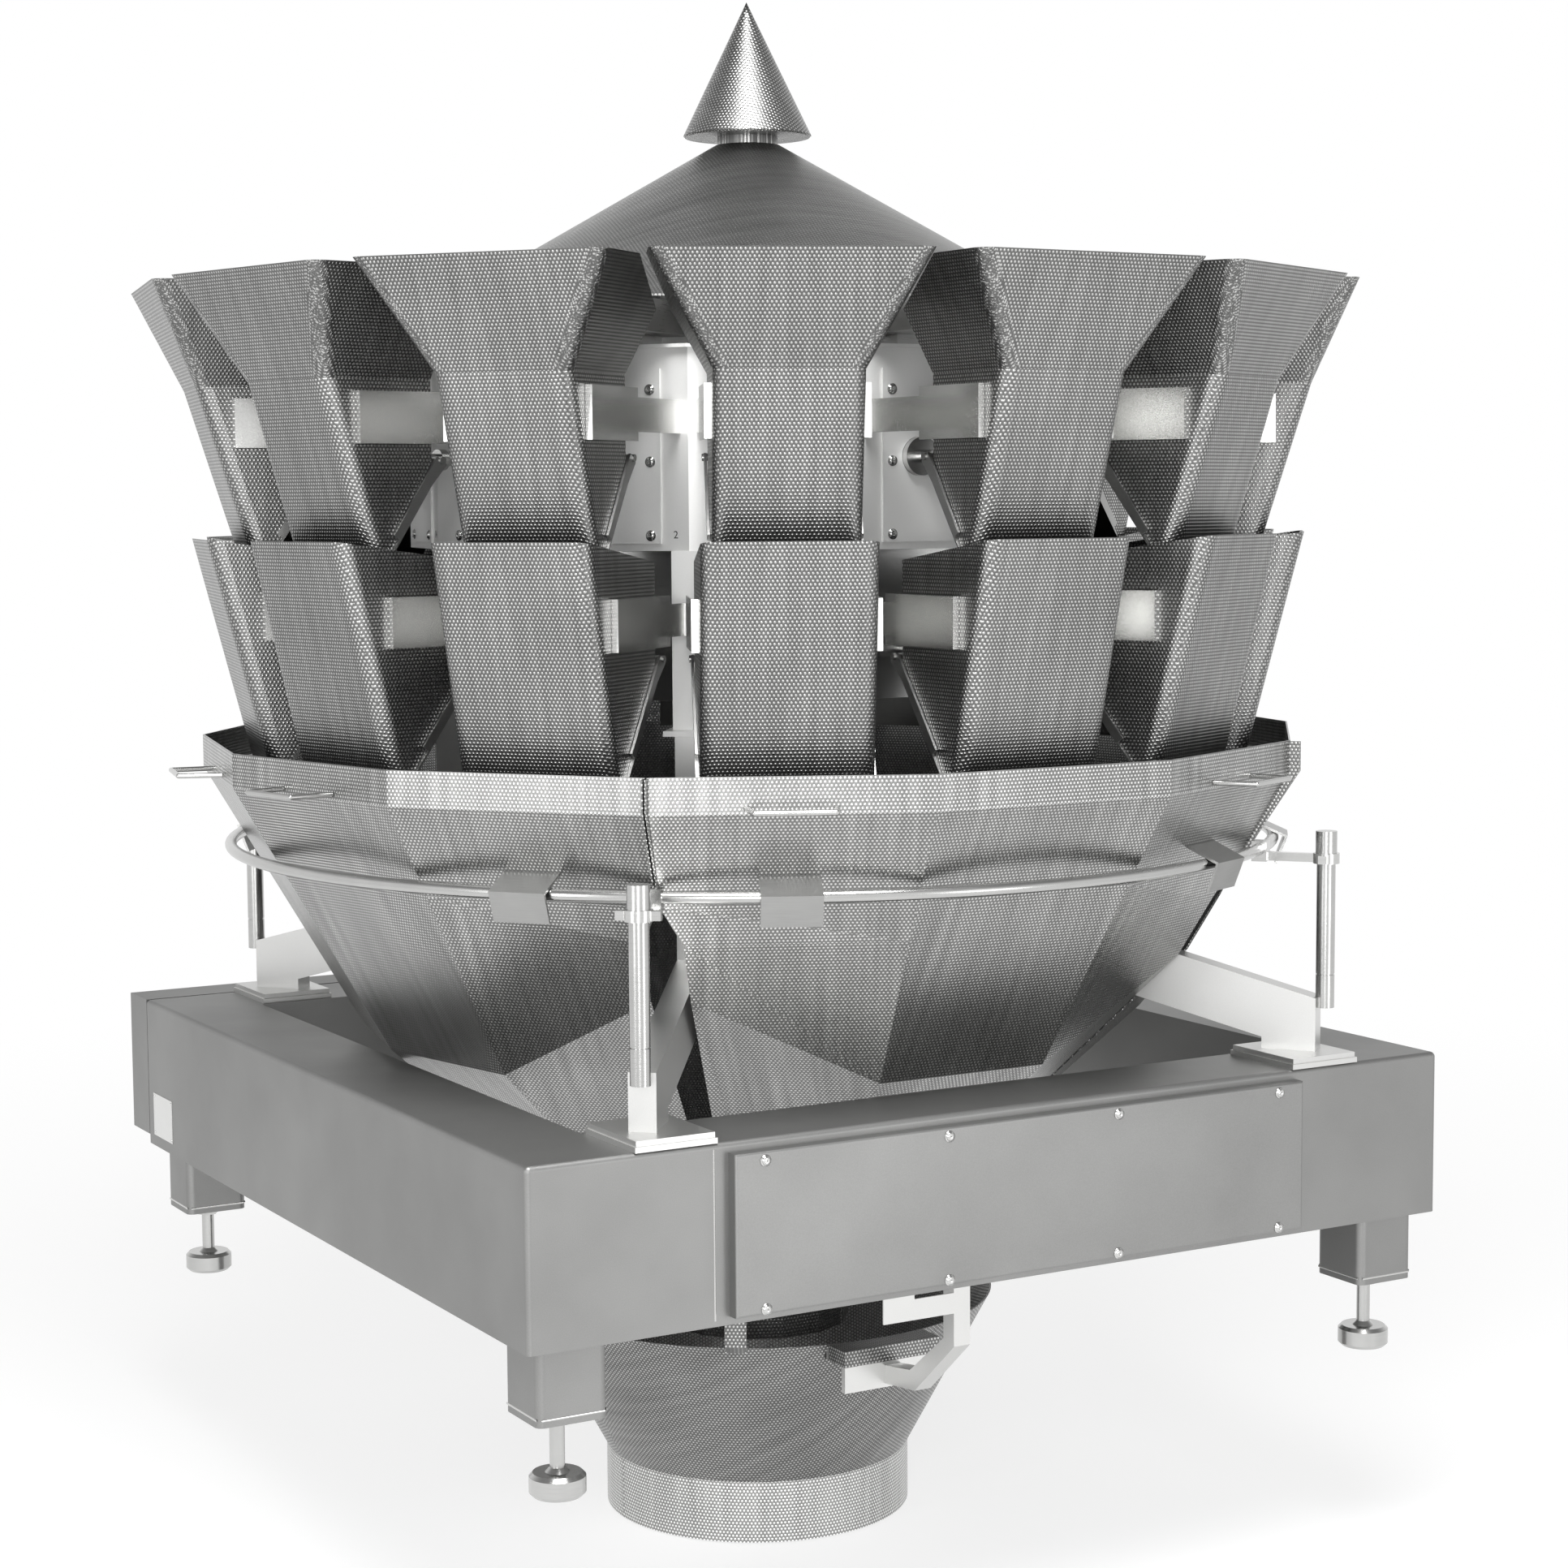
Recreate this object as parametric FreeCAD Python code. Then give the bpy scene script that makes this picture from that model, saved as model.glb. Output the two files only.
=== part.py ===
# Fourteen-head combination weigher. Millimetres, Z up.
# Origin: centre of the discharge spout's open bottom end, on the machine's upright axis.
import math
import os
import FreeCAD, Part

os.makedirs("parts", exist_ok=True)

# ---------------------------------------------------------------- driving sizes
# Heights build up from the floor line of the spout, radii build up from the drive housing:
# hoppers stand outside the housing, the chute outside the hoppers, the ring, the posts and
# the arms outside the chute, and the square frame under the feet of the arms.
HEADS = 14                      # weighing heads round the axis
STEP = 360.0 / HEADS            # angle between two heads
HALF = math.radians(STEP / 2)   # half of that angle
SEAM_TURN = 1.5 * STEP          # arms stand one and a half heads from the front head
SHEET = 2.0                     # stainless sheet of hoppers, chutes and cones
TOUCH = 0.3                     # clearance between two pieces that rest on each other
RUN = 0.6                       # running clearance beside a swinging gate arm
OVER = 1.0                      # how far a cutting shape reaches past what it cuts

FOOT_Z = 246.0                  # underside of the levelling feet above the spout's end
FOOT_H = 86.0                   # levelling foot, from its pad up to the leg
PAD_D = 60.0
PAD_H = 25.0
PAD_EDGE = 4.0                  # chamfer round the pad
STEM_D = 16.0
STEM_FLARE = 5.0                # cone where the stem meets the pad
NUT_D = 27.0                    # across the corners of the foot's hexagon nut
NUT_H = 10.0

LEG_H = 83.0
LEG_W = 80.0
LEG_R = 9.0
LEG_WALL = 4.0
LEG_INSET = 59.0                # leg centre from the frame's outer faces
BEAM_W = 120.0
BEAM_H = 194.0
BEAM_WALL = 4.0
BEAM_R = 6.0                    # rounded outer edges of the folded frame
BEAM_Z0 = FOOT_Z + FOOT_H + LEG_H
BEAM_TOP = BEAM_Z0 + BEAM_H

COVER_W = 752.0
COVER_H = 174.0
COVER_DEEP = 15.0
COVER_X = 8.0                   # the cover stands a little right of the middle
COVER_UP = 9.0                  # cover's lower edge above the frame's
COVER_R = 3.0
BOX_DEEP = 70.0                 # box for the controls on the back beam
BOX_SIDE = 1.0                  # its sides and its lower edge inside the beam's
BOX_UP = 11.0

BODY_R = 422.0                  # corner radius of the fourteen-sided drive housing
BODY_WALL = 3.0
BODY_FACE = BODY_R * math.cos(HALF)
CAP_OVER = 8.0                  # the housing's lid stands this far out
CAP_T = 4.0
COVER_HALF = 61.0               # half width of the screwed cover on each housing face
COVER_TALL = 194.0
COVER_T = 3.0
GLAND_D = 44.0                  # round gland that a feed pusher comes out of
GLAND_T = 12.0
DRUM_R = BODY_R - 32.0
DRUM_WALL = 6.0

PUSH_T = -14.0                  # pushers work a little left of each head's middle
PUSH_D = 14.0
PUSH_NUT = 10.0
NUT_OVER = 10.0                 # lock nut's diameter over the rod's
ROLLER_D = 20.0
ROLLER_HALF = 8.0

ARM_W = 30.0                    # arms are 64 x 30 box section, bent twice
ARM_D = 64.0
ARM_SLOPE = math.tan(math.radians(15.0))
ARM_IN = BODY_R + 18.0          # outer face of the arm's inner upright
ARM_TOP = BEAM_TOP + 401.0
ARM_RISE = 63.0                 # height of the arm's outer corner above the plates
POST_W = 40.0
POST_DEEP = 34.0
DRUM_Z0 = ARM_TOP + 36.0
BODY_Z0 = DRUM_Z0 + 170.0
BODY_Z1 = BODY_Z0 + 225.0

BEND_R = 18.0                   # folded front corners of the hoppers
FEED_HALF = 79.0                # feed hopper, half width of the shaft
FEED_BACK = BODY_R + 124.0
FEED_DEEP = 142.0
FEED_SEAM_R = FEED_BACK + FEED_DEEP
FEED_HINGE_Z = BODY_Z0 + 82.0
FEED_SEAM_Z = FEED_HINGE_Z + 108.0
FEED_LOW = (FEED_BACK + 76.0, FEED_HINGE_Z - 107.0)
FEED_PIVOT = (FEED_BACK - 12.0, FEED_HINGE_Z + 20.0)
FEED_ROLLER = (FEED_PIVOT[0] - 39.0, FEED_PIVOT[1] + 2.0)
FLARE_H = 119.0                 # collar of the feed hopper above its welded seam
FLARE_OUT = 53.0
FLARE_WIDE = 66.0
FLARE_TOP = FEED_SEAM_Z + FLARE_H
FLARE_HALF = FEED_HALF + FLARE_WIDE
FLARE_BACK = FEED_BACK + 104.0
FLARE_KNEE = FEED_SEAM_Z + 68.0

WEIGH_HALF = 93.0
WEIGH_BACK = BODY_R + 83.0
WEIGH_TOP_R = WEIGH_BACK + 176.0
WEIGH_HINGE_Z = DRUM_Z0 + 37.0
WEIGH_BACK_Z = WEIGH_HINGE_Z + 123.0
WEIGH_TOP_Z = WEIGH_BACK_Z + 24.0
WEIGH_SILL_Z = WEIGH_BACK_Z - 35.0
WEIGH_LOW = (WEIGH_BACK + 105.0, WEIGH_HINGE_Z - 137.0)
WEIGH_PIVOT = (WEIGH_BACK - 13.0, WEIGH_HINGE_Z + 17.0)
WEIGH_ROLLER = (WEIGH_PIVOT[0] - 40.0, WEIGH_PIVOT[1] + 3.0)

TAB_OFF = 8.0                   # depth of the hanger channels on the hopper sides
FEED_TAB = (FEED_BACK - 16.0, FEED_BACK + 100.0, FEED_HINGE_Z + 38.0, FEED_HINGE_Z + 95.0)
WEIGH_TAB = (WEIGH_BACK - 23.0, WEIGH_BACK + 113.0, WEIGH_HINGE_Z + 30.0, WEIGH_HINGE_Z + 86.0)
BAR_INSET = 10.0                # hanger bar above and below inside its channel
WEB_HALF = 5.0
WEB_LEN = 60.0
FORK_R = 42.0                   # bars of a fork start this far outside the drum's corners

GATE_T = 2.0
GATE_ARM = 3.0
GATE_PIN = 8.0
GATE_LIP = 2.0
GATE_REACH = 0.62               # the side arm meets the plate at this share of its length
GATE_EYE = 8.0
LEVER_HALF = 3.0
LEVER_H = 6.0

RIM_R = WEIGH_TOP_R + 2.0       # corner radius of the collecting chute's rim
RIM_H = 39.5
RIM_Z = BEAM_TOP + 338.0
RIM_TOP = RIM_Z + RIM_H
CHUTE_RUN = 0.585               # inward run of the upper chute per mm of drop
FOLD_Z = RIM_Z - 323.0
FOLD_SEAM_Z = FOLD_Z + 106.0    # the fold climbs to here beside the arm slots
SLOT_TOP = RIM_Z - 104.0
SLOT_WIDE_Z = SLOT_TOP - 45.0
SLOT_HALF = ARM_W / 2 + 7.0
SEAM_GAP = 1.0                  # half of the joint between two chute sectors
FLANGE = 12.0

RING_D = 14.0
RING_DROP = 90.0
RING_Z = RIM_Z - RING_DROP
RING_CLEAR = 10.65              # ring's inside from the chute's corners
RING_R = RIM_R - CHUTE_RUN * RING_DROP + RING_CLEAR + RING_D / 2
LINK_L = 79.0                   # ring line to post line
POST_R = RING_R + LINK_L
POST_D = 22.0
SLEEVE_D = 25.0
GROOVE = 1.5                    # visible joint between the post's two lengths
POST_TOP = RING_Z + 24.0
POST_JOINT = RING_Z - 146.0
COLLAR_Z = RING_Z - 14.0
COLLAR_H = 12.0
COLLAR_D = POST_D + 9.0
EAR_HALF = 24.0
EAR_DEEP = 10.0

ARM_OUT = POST_R - 8.0          # outer face of the arm's foot: the post is let into it
ARM_MID = ARM_OUT - ARM_D / 2
PLATE_T = 6.0                   # each of the two stacked plates under an arm
PLATE_X = 96.0
PLATE_Y = 116.0
PLATE_STEP = 2.0
PLATE_CX = ARM_MID * math.sin(math.radians(SEAM_TURN))
FOOT_EDGE = 62.88               # middle of the arm's foot from the frame's outer face
FRAME_W = 2 * (ARM_MID * math.cos(math.radians(SEAM_TURN)) + FOOT_EDGE)
LEG_AT = FRAME_W / 2 - LEG_INSET

SPOUT_R = 193.0
SPOUT_H = 76.0
FUNNEL_R = 300.0
FUNNEL_TOP = SPOUT_H + 198.0
OUTLET_R = 117.0                # lower end of the collecting chute, inside the funnel
OUTLET_Z = FUNNEL_TOP - 41.0
OUTLET_TOP = OUTLET_Z + 63.0
LUG_HALF = 66.0                 # folded lugs on the funnel's rim rest on two brackets
LUG_OUT = 30.0
LUG_H = 19.0
TUBE = 22.0                     # square tube of the funnel's brackets
SHELF_H = 31.0
SHELF_T = 8.0
ELBOW_OUT = 66.0                # elbow of a bracket outside its shelf
ELBOW_UP = 8.0                  # and above the middle of the shelf
DROP_Z = FUNNEL_TOP + 46.0      # lower end of a bracket's upright
FISH_W = 94.0                   # plate beside the upright, on the beam's inner wall
FISH_DROP = 67.0
FISH_NOTCH = 53.0               # the plate narrows to a band beside the upright
FISH_BAND = 24.0
STRAP_W = 26.0                  # upright straps on the funnel's rim
STRAP_UP = 62.0
STRAP_TURN = -34.0

CONE_R = 400.0
CONE_RUN = 0.57                 # drop of the dispersion cone per mm of radius
CONE_TOP_R = 40.0
CONE_T = SHEET * math.hypot(1.0, CONE_RUN)
SEAT_R = 110.0                  # boss under the dispersion cone
PAN_Z = BODY_Z1 + 15.0
PAN_WALL = 36.0
PAN_HALF = 78.0
PAN_IN = PAN_HALF / math.tan(HALF) + 8.2
PAN_OUT = FEED_BACK + 86.0
PAN_BLOCK = 40.0
EDGE_GAP = 7.5                  # cone's edge above the side walls of the feeder pans
CONE_EDGE = PAN_Z + PAN_WALL + EDGE_GAP
CONE_TOP = CONE_EDGE + CONE_T + CONE_RUN * (CONE_R - CONE_TOP_R)
SPIKE_R = 79.0
SPIKE_H = 164.0
SPIKE_Z = CONE_TOP + 10.0
SPIKE_TOP = SPIKE_Z + SPIKE_H

HANDLE_D = 6.0                  # wire handles on the rim
HANDLE_HALF = 48.0
HANDLE_OUT = 50.0
HANDLE_UP = 6.0
HOOK_HALF = 33.0
HOOK_T = 3.0
HOOK_LEAN = 0.45
HOOK_FOLD = 14.0                # fold and tip of a hook outside the ring line
HOOK_TIP = 2.0
HOOK_TAIL = 30.0
HANDLES = (-1, 1, 3, 4, 6, 8, 10, 11)
HOOKS = (-1, 1, 2, 5, 6, 8, 9, 12)


# ---------------------------------------------------------------- helpers
def point(r, t, z):
    """A point of the front head: r from the axis towards the front, t to the right, z up."""
    return FreeCAD.Vector(t, -r, z)


def face(points):
    return Part.Face(Part.makePolygon(points + [points[0]]))


def prism(profile, t0, t1):
    """Solid with the outline profile [(r, z), ...], from t0 to t1 across the head."""
    wall = face([point(r, t0, z) for r, z in profile])
    return wall.extrude(FreeCAD.Vector(t1 - t0, 0, 0))


def box(r0, r1, t0, t1, z0, z1):
    return Part.makeBox(t1 - t0, r1 - r0, z1 - z0, point(r1, t0, z0))


def block(width, deep, height, x, y, z):
    """Box that stands centred on x and y, with its underside at z."""
    corner = FreeCAD.Vector(x - width / 2, y - deep / 2, z)
    return Part.makeBox(width, deep, height, corner)


def turned(shape, degrees):
    copy = shape.copy()
    copy.rotate(FreeCAD.Vector(0, 0, 0), FreeCAD.Vector(0, 0, 1), degrees)
    return copy


def mirrored(shape):
    """The same piece on the other side of its head."""
    return shape.mirror(FreeCAD.Vector(0, 0, 0), FreeCAD.Vector(1, 0, 0))


def revolved(outline):
    """Full turn round the upright axis of the outline [(radius, z), ...]."""
    wall = face([FreeCAD.Vector(x, 0, z) for x, z in outline])
    return wall.revolve(FreeCAD.Vector(0, 0, 0), FreeCAD.Vector(0, 0, 1), 360)


def all_heads(shape):
    return [turned(shape, k * STEP) for k in range(HEADS)]


def seam_turns():
    """The four arm lines, either side of the front and of the back."""
    return (SEAM_TURN, 180 - SEAM_TURN, 180 + SEAM_TURN, -SEAM_TURN)


def at_seams(shape):
    return [turned(shape, a) for a in seam_turns()]


def fused(shapes):
    whole = shapes[0]
    if len(shapes) > 1:
        whole = whole.multiFuse(shapes[1:])
    return whole.removeSplitter()


def rod(a, b, d):
    return Part.makeCylinder(d / 2, (b - a).Length, a, b - a)


def ring_points(radius, z):
    """Corners of the fourteen-sided outline: they lie half a step beside each head."""
    turns = [math.radians(-90 + STEP * (k + 0.5)) for k in range(HEADS)]
    return [FreeCAD.Vector(radius * math.cos(a), radius * math.sin(a), z) for a in turns]


def sided_prism(radius, z0, z1):
    return face(ring_points(radius, z0)).extrude(FreeCAD.Vector(0, 0, z1 - z0))


def normal_of(a, b):
    dr, dz = b[0] - a[0], b[1] - a[1]
    run = math.hypot(dr, dz)
    return (-dz / run, dr / run)


def strip(path, thick):
    """Outline of a bent sheet that follows path [(r, z), ...] and lies on its left side."""
    left = []
    for i, (r, z) in enumerate(path):
        before = path[max(i - 1, 0)]
        after = path[min(i + 1, len(path) - 1)]
        n0 = normal_of(before, (r, z)) if i else normal_of((r, z), after)
        n1 = normal_of((r, z), after) if i < len(path) - 1 else n0
        mr, mz = n0[0] + n1[0], n0[1] + n1[1]
        scale = 2 * thick / (mr * mr + mz * mz)
        left.append((r + mr * scale, z + mz * scale))
    return path + left[::-1]


def rounded(solid, picks, radius):
    edges = [e for e in solid.Edges if picks(e)]
    return solid.makeFillet(radius, edges)


def is_upright(e):
    return abs(e.Vertexes[0].Z - e.Vertexes[-1].Z) > OVER


def save(name, shapes):
    shape = shapes[0] if len(shapes) == 1 else Part.makeCompound(shapes)
    if not shape.isValid():
        raise ValueError(name + " is not a valid shape")
    shape.exportStep("parts/" + name + ".step")
    low = shape.BoundBox
    print("%-22s solids %2d  z %7.1f..%7.1f  volume %.0f cm3"
          % (name, len(shape.Solids), low.ZMin, low.ZMax, shape.Volume / 1000))


# ---------------------------------------------------------------- base frame
def base_frame():
    """Four closed box beams, welded into a square with a square opening."""
    inner = FRAME_W - 2 * BEAM_W
    outside = block(FRAME_W, FRAME_W, BEAM_H, 0, 0, BEAM_Z0)
    outside = rounded(outside, lambda e: is_upright(e)
                      or min(v.Z for v in e.Vertexes) > BEAM_TOP - OVER, BEAM_R)
    frame = outside.cut(block(inner, inner, BEAM_H + 2 * OVER, 0, 0, BEAM_Z0 - OVER))
    hollow_w = FRAME_W - 2 * BEAM_WALL
    core_w = inner + 2 * BEAM_WALL
    hollow = block(hollow_w, hollow_w, BEAM_H - 2 * BEAM_WALL, 0, 0, BEAM_Z0 + BEAM_WALL)
    return frame.cut(hollow.cut(block(core_w, core_w, BEAM_H, 0, 0, BEAM_Z0)))


def lid(width, deep, height):
    """Folded lid, open at the back, with its back edge on y = 0 and its face at y = -deep."""
    outside = block(width, deep, height, 0, -deep / 2, 0)
    outside = rounded(outside, lambda e: all(v.Y < -deep + OVER for v in e.Vertexes), COVER_R)
    inside = block(width - 2 * SHEET, deep, height - 2 * SHEET, 0, SHEET - deep / 2, SHEET)
    return outside.cut(inside)


def front_cover():
    cover = lid(COVER_W, COVER_DEEP, COVER_H)
    cover.translate(FreeCAD.Vector(COVER_X, -FRAME_W / 2, BEAM_Z0 + COVER_UP))
    return cover


def back_box():
    """Folded box on the back beam that holds the controls; its top is level with the frame."""
    cover = lid(FRAME_W - 2 * BOX_SIDE, BOX_DEEP, BEAM_H - BOX_UP)
    cover.translate(FreeCAD.Vector(0, -FRAME_W / 2, BEAM_Z0 + BOX_UP))
    return turned(cover, 180)


def corners(shape):
    """Copies at the four legs."""
    out = []
    for x in (-LEG_AT, LEG_AT):
        for y in (-LEG_AT, LEG_AT):
            copy = shape.copy()
            copy.translate(FreeCAD.Vector(x, y, 0))
            out.append(copy)
    return out


def leg():
    z0 = BEAM_Z0 - LEG_H
    body = rounded(block(LEG_W, LEG_W, LEG_H, 0, 0, z0), is_upright, LEG_R)
    in_w = LEG_W - 2 * LEG_WALL
    inside = block(in_w, in_w, LEG_H, 0, 0, z0 + LEG_WALL)
    return body.cut(rounded(inside, is_upright, LEG_R - LEG_WALL))


def foot():
    top = FOOT_Z + FOOT_H
    r = PAD_D / 2
    stem = STEM_D / 2
    pad_top = FOOT_Z + PAD_H
    pad = revolved([(0, FOOT_Z), (r - PAD_EDGE, FOOT_Z), (r, FOOT_Z + PAD_EDGE),
                    (r, pad_top - PAD_EDGE), (r - PAD_EDGE, pad_top),
                    (stem + STEM_FLARE, pad_top), (stem, pad_top + STEM_FLARE),
                    (stem, top), (0, top)])
    sixths = [math.radians(60 * k) for k in range(6)]
    hexagon = [FreeCAD.Vector(NUT_D / 2 * math.cos(a), NUT_D / 2 * math.sin(a), top - NUT_H)
               for a in sixths]
    nut = face(hexagon).extrude(FreeCAD.Vector(0, 0, NUT_H))
    return fused([pad, nut])


# ---------------------------------------------------------------- arms and body posts
def arm():
    """Box section that rises from its plates, runs inward on a slope and stands up again."""
    foot_z = BEAM_TOP + 2 * PLATE_T
    outer_z = foot_z + ARM_RISE
    inner_r = ARM_OUT - ARM_D
    under_z = outer_z - ARM_D * math.hypot(1.0, ARM_SLOPE) + ARM_SLOPE * ARM_D
    back_r = ARM_IN - ARM_D
    profile = [(ARM_OUT, foot_z), (ARM_OUT, outer_z),
               (ARM_IN, outer_z + ARM_SLOPE * (ARM_OUT - ARM_IN)), (ARM_IN, ARM_TOP),
               (back_r, ARM_TOP), (back_r, under_z + ARM_SLOPE * (inner_r - back_r)),
               (inner_r, under_z), (inner_r, foot_z)]
    return prism(profile, -ARM_W / 2, ARM_W / 2)


def arm_plates():
    """Two stacked plates under each arm, flush with the outer face of their beam."""
    out = []
    y = FRAME_W / 2 - PLATE_Y / 2
    inset = 2 * PLATE_STEP
    for sx in (-1, 1):
        for sy in (-1, 1):
            lower = block(PLATE_X, PLATE_Y, PLATE_T, sx * PLATE_CX, sy * y, BEAM_TOP)
            upper = block(PLATE_X - inset, PLATE_Y - inset, PLATE_T,
                          sx * PLATE_CX, sy * y, BEAM_TOP + PLATE_T)
            out.append(fused([lower, upper]))
    return out


def body_post():
    column = box(DRUM_R + TOUCH, DRUM_R + POST_DEEP, -POST_W / 2, POST_W / 2, ARM_TOP, BODY_Z0)
    ledge = POST_W * 0.7
    flange = box(ARM_IN - ARM_D, ARM_IN + PLATE_STEP, -ledge, ledge, ARM_TOP, ARM_TOP + PLATE_T)
    return fused([column, flange])


# ---------------------------------------------------------------- ring of round bar
def upright_rod(r, z0, z1, d):
    return rod(point(r, 0, z0), point(r, 0, z1), d)


def ring_post(own_arm):
    """Post of two lengths and a sleeve, let into the arm's outer face at its foot."""
    base = BEAM_TOP + 2 * PLATE_T + ARM_RISE - COLLAR_H
    collar_top = COLLAR_Z + COLLAR_H
    lower = upright_rod(POST_R, base, POST_JOINT, POST_D)
    groove = upright_rod(POST_R, POST_JOINT, POST_JOINT + GROOVE, POST_D - 2 * GROOVE)
    upper = upright_rod(POST_R, POST_JOINT + GROOVE, collar_top, POST_D)
    sleeve = upright_rod(POST_R, collar_top, POST_TOP, SLEEVE_D)
    return fused([lower, groove, upper, sleeve]).cut(own_arm)


def ring_clamp(ring):
    """Collar round the post with two ears, and a link to a block that holds the ring."""
    z0 = COLLAR_Z + OVER
    z1 = COLLAR_Z + COLLAR_H - OVER
    collar = upright_rod(POST_R, COLLAR_Z, COLLAR_Z + COLLAR_H, COLLAR_D)
    ears = box(POST_R - EAR_DEEP / 2, POST_R + EAR_DEEP / 2, -EAR_HALF, EAR_HALF, z0, z1)
    link = box(RING_R, POST_R, -EAR_DEEP / 2, EAR_DEEP / 2, z0, z1)
    grip = box(RING_R - RING_D / 2 - OVER, RING_R + EAR_DEEP, -EAR_DEEP, EAR_DEEP, COLLAR_Z,
               RING_Z + EAR_DEEP)
    bore = upright_rod(POST_R, COLLAR_Z - OVER, COLLAR_Z + COLLAR_H + OVER, POST_D)
    return fused([collar, ears, link, grip]).cut(bore).cut(ring)


def support_ring():
    return Part.makeTorus(RING_R, RING_D / 2, FreeCAD.Vector(0, 0, RING_Z))


# ---------------------------------------------------------------- collecting chute
def chute_r(z):
    """Corner radius of the chute's outside at height z."""
    return RIM_R - CHUTE_RUN * max(RIM_Z - z, 0.0)


def panel_r(z):
    """Distance of a chute panel's outside from the axis, at its middle."""
    return chute_r(z) * math.cos(HALF)


def outline_point(r, turn, off):
    """Corner at a turn from the front head; off moves it sideways off its radial plane."""
    a = math.radians(-90 + turn)
    return (r * math.cos(a) - off * math.sin(a), r * math.sin(a) + off * math.cos(a))


def sector_rows(first, panels):
    """Rows of outside corners, from the rim down to the outlet, for one chute sector."""
    turns = [STEP * (first + i - 0.5) for i in range(panels + 1)]
    low = 2 * SEAM_GAP + SHEET
    rows = [(RIM_TOP, RIM_TOP, SEAM_GAP, RIM_R, RIM_R),
            (RIM_Z, RIM_Z, SEAM_GAP, RIM_R, RIM_R),
            (SLOT_TOP, SLOT_TOP, SEAM_GAP, chute_r(SLOT_TOP), chute_r(SLOT_TOP)),
            (SLOT_WIDE_Z, SLOT_WIDE_Z, SLOT_HALF, chute_r(SLOT_WIDE_Z), chute_r(SLOT_WIDE_Z)),
            (FOLD_SEAM_Z, FOLD_Z, SLOT_HALF, chute_r(FOLD_SEAM_Z), chute_r(FOLD_Z)),
            (OUTLET_TOP, OUTLET_TOP, low, OUTLET_R, OUTLET_R),
            (OUTLET_Z, OUTLET_Z, low, OUTLET_R, OUTLET_R)]
    grid = []
    for seam_z, mid_z, off, seam_r, mid_r in rows:
        line = []
        for i, turn in enumerate(turns):
            edge = i in (0, panels)
            shift = off if i == 0 else -off
            r, z = (seam_r, seam_z) if edge else (mid_r, mid_z)
            x, y = outline_point(r, turn, shift if edge else 0.0)
            line.append((x, y, z))
        grid.append(line)
    return grid


def inward(p, by):
    x, y, z = p
    r = math.hypot(x, y)
    k = (r - by) / r
    return (x * k, y * k, z)


def patch(a, b, c, d):
    """Two triangles over the corners a b c d, or one flat face where they lie in a plane."""
    va, vb, vc, vd = [FreeCAD.Vector(*p) for p in (a, b, c, d)]
    n = (vb - va).cross(vc - va)
    if n.Length > 1e-6 and abs((vd - va).dot(n)) / n.Length < 1e-4:
        return [face([va, vb, vc, vd])]
    return [face([va, vb, vc]), face([va, vc, vd])]


def chute_sector(first, panels):
    """One folded sector: an outer and an inner skin sewn along all their edges."""
    grid = sector_rows(first, panels)
    lean = SHEET * math.hypot(1.0, CHUTE_RUN)
    in_by = [SHEET, SHEET, lean, lean, lean, lean, SHEET]
    inner = [[inward(p, by) for p in line] for by, line in zip(in_by, grid)]
    last = len(grid) - 1
    faces = []
    for skin in (grid, inner):
        for i in range(last):
            for j in range(panels):
                faces += patch(skin[i][j], skin[i][j + 1], skin[i + 1][j + 1], skin[i + 1][j])
    for i in range(last):
        for j in (0, panels):
            faces += patch(grid[i][j], grid[i + 1][j], inner[i + 1][j], inner[i][j])
    for i in (0, last):
        for j in range(panels):
            faces += patch(grid[i][j], grid[i][j + 1], inner[i][j + 1], inner[i][j])
    shell = Part.makeShell(faces)
    shell.sewShape()
    solid = Part.makeSolid(shell)
    if solid.Volume < 0:
        solid.reverse()
    lips = [turned(seam_lip(side), STEP * (first + i - 0.5))
            for i, side in ((0, 1), (panels, -1))]
    return fused([solid] + lips)


def seam_lip(side):
    """Standing flange along the joint of two sectors, on one side of the joint."""
    inset = SHEET + TOUCH
    slot_r = chute_r(SLOT_TOP)
    path = [(RIM_R - inset, RIM_TOP - OVER), (RIM_R - inset, RIM_Z), (slot_r - inset, SLOT_TOP),
            (slot_r + FLANGE * 0.67, SLOT_TOP + FLANGE * 0.67), (RIM_R + FLANGE, RIM_Z + FLANGE / 3),
            (RIM_R + FLANGE, RIM_TOP - OVER)]
    t0, t1 = sorted((side * SEAM_GAP, side * (SEAM_GAP + SHEET)))
    return prism(path, t0, t1)


def handle():
    """Bent wire handle on a rim panel."""
    z = RIM_Z + HANDLE_UP
    root = panel_r(RIM_Z) + TOUCH
    reach = root + HANDLE_OUT
    grip = HANDLE_HALF - HANDLE_D
    points = [point(root, -HANDLE_HALF, z), point(reach, -grip, z),
              point(reach, grip, z), point(root, HANDLE_HALF, z)]
    wires = [rod(points[i], points[i + 1], HANDLE_D) for i in range(3)]
    knees = [Part.makeSphere(HANDLE_D / 2, p) for p in points[1:3]]
    behind = box(0, root, -RIM_R, RIM_R, z - HANDLE_OUT, z + HANDLE_OUT)
    return fused(wires + knees).cut(behind)


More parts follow.
